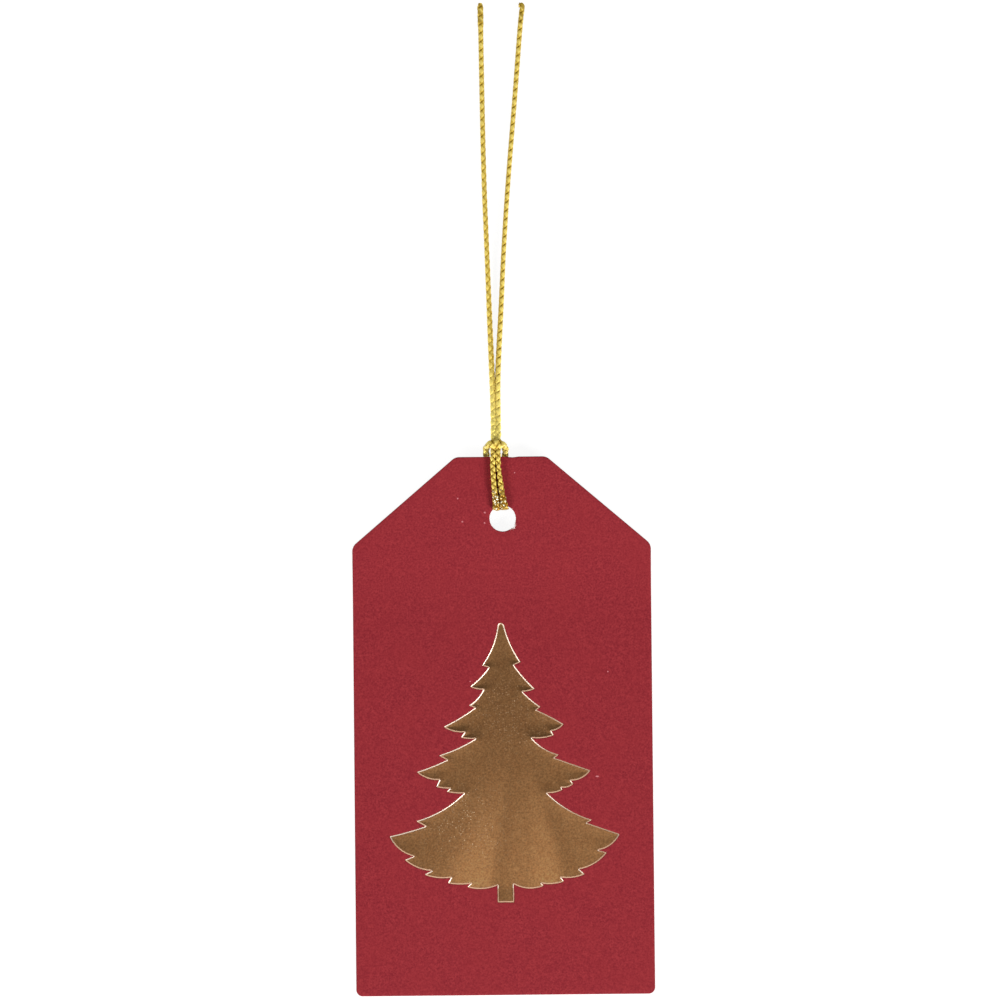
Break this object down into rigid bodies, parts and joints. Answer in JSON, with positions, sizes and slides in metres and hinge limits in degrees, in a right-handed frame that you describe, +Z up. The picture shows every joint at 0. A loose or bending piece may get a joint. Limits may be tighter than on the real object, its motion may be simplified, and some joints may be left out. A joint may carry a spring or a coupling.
{
  "type": "gift tag",
  "caption": "Flat card gift tag with clipped top corners, a stamped foil fir tree and a thin metallic cord hitched through its hole, its loose ends free to tie.",
  "frame": {"origin": "under the middle of the card, on the surface that the tag lies on", "axes": "+X to the card's right, +Y along the card towards the hole and the cord's ends, +Z up out of the printed face"},
  "size_m": [0.05, 0.1662, 0.0034],
  "materials": {
    "card": "matt printed board",
    "foil": "polished gold stamping foil",
    "cord": "gold metallic cord"
  },
  "bodies": {
    "tag": {"tag_card": "card", "foil_tree": "foil", "cord_hitch": "cord"},
    "neck": {"cord_neck": "cord"},
    "left_tail": {"cord_left_tail": "cord"},
    "right_tail": {"cord_right_tail": "cord"}
  },
  "joints": [
    {"name": "cord_fold", "type": "hinge", "parent": "tag", "child": "neck", "pos_m": [-0.00082, 0.0475, 0.00302], "axis": [1, 0, 0], "range_deg": [0, 175]},
    {"name": "left_splay", "type": "hinge", "parent": "neck", "child": "left_tail", "pos_m": [-0.00126, 0.0526, 0.00108], "axis": [0, 0, 1], "range_deg": [0, 60]},
    {"name": "right_splay", "type": "hinge", "parent": "neck", "child": "right_tail", "pos_m": [-0.00039, 0.0526, 0.00108], "axis": [0, 0, -1], "range_deg": [0, 60]}
  ]
}
